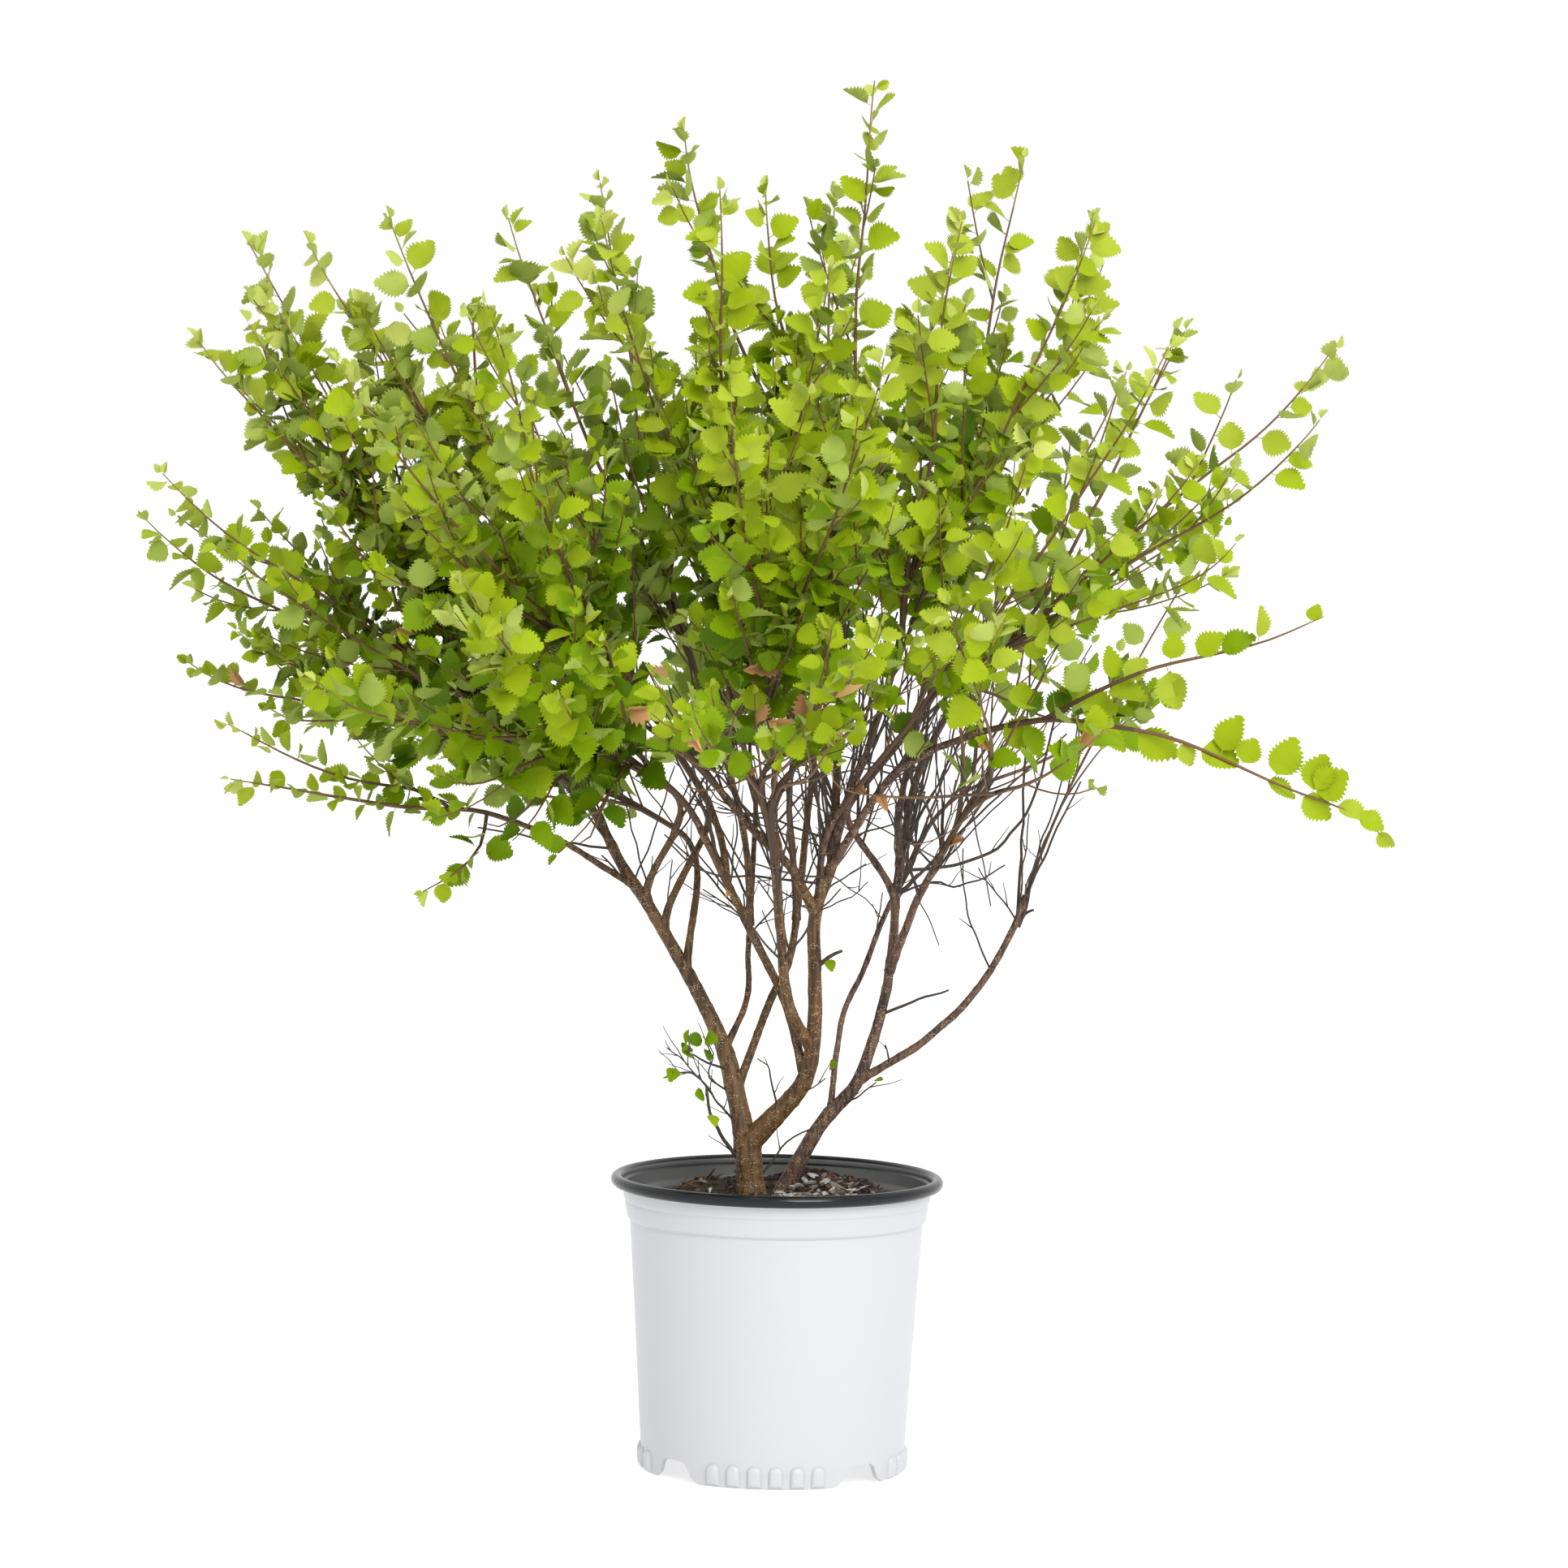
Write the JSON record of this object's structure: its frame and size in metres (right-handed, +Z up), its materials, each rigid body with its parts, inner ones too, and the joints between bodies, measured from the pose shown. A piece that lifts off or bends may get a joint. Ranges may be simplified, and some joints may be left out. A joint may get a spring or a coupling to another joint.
{
  "type": "potted dwarf birch",
  "caption": "Dwarf birch shrub with bare lower stems and a wide fan of leafy upright shoots, in a plain round nursery pot with arched feet.",
  "frame": {"origin": "centre of the pot's underside, on the surface it stands on", "axes": "+Z up along the pot's axis; the pictured side faces -Y and the long low shoot points to +X"},
  "size_m": [0.8892, 0.8883, 0.9856],
  "materials": {
    "pot": "satin white outside, dark grey inside and on the rolled rim",
    "soil": "loose damp bark mix with pale chips",
    "brown_bark": "thin brown bark with pale short cross marks",
    "dark_bark": "smooth dark reddish bark",
    "foliage": "thin toothed leaves, yellow-green at the tips and deeper green inside"
  },
  "bodies": {
    "root": {"bough_behind_left": "brown_bark", "bough_behind_middle": "brown_bark", "bough_behind_right": "dark_bark", "bough_far_right": "dark_bark", "bough_front": "brown_bark", "bough_front_high": "brown_bark", "bough_front_left": "brown_bark", "bough_front_middle": "brown_bark", "bough_front_right": "dark_bark", "bough_front_right_high": "dark_bark", "bough_left": "brown_bark", "bough_left_high": "brown_bark", "bough_left_high_rear": "brown_bark", "bough_left_low_rear": "brown_bark", "bough_left_middle": "brown_bark", "bough_left_rear": "brown_bark", "bough_low_left": "brown_bark", "bough_middle_left": "brown_bark", "bough_rear_high": "brown_bark", "bough_right_front": "dark_bark", "bough_right_high": "dark_bark", "bough_right_low": "dark_bark", "bough_right_rear": "dark_bark", "foliage_far_right": "foliage", "foliage_front": "foliage", "foliage_front_high": "foliage", "foliage_front_left": "foliage", "foliage_front_middle": "foliage", "foliage_front_right": "foliage", "foliage_front_right_high": "foliage", "foliage_left_droop": "foliage", "foliage_left_high": "foliage", "foliage_left_high_rear": "foliage", "foliage_left_low": "foliage", "foliage_left_low_rear": "foliage", "foliage_left_middle": "foliage", "foliage_left_rear": "foliage", "foliage_middle_left": "foliage", "foliage_rear_high": "foliage", "foliage_rear_low": "foliage", "foliage_rear_middle": "foliage", "foliage_right_front": "foliage", "foliage_right_high": "foliage", "foliage_right_low": "foliage", "foliage_right_low_rear": "foliage", "foliage_right_middle": "foliage", "foliage_right_rear": "foliage", "foliage_top": "foliage", "pot": "pot", "soil": "soil", "stem_left": "brown_bark", "stem_right": "dark_bark"}
  },
  "joints": []
}
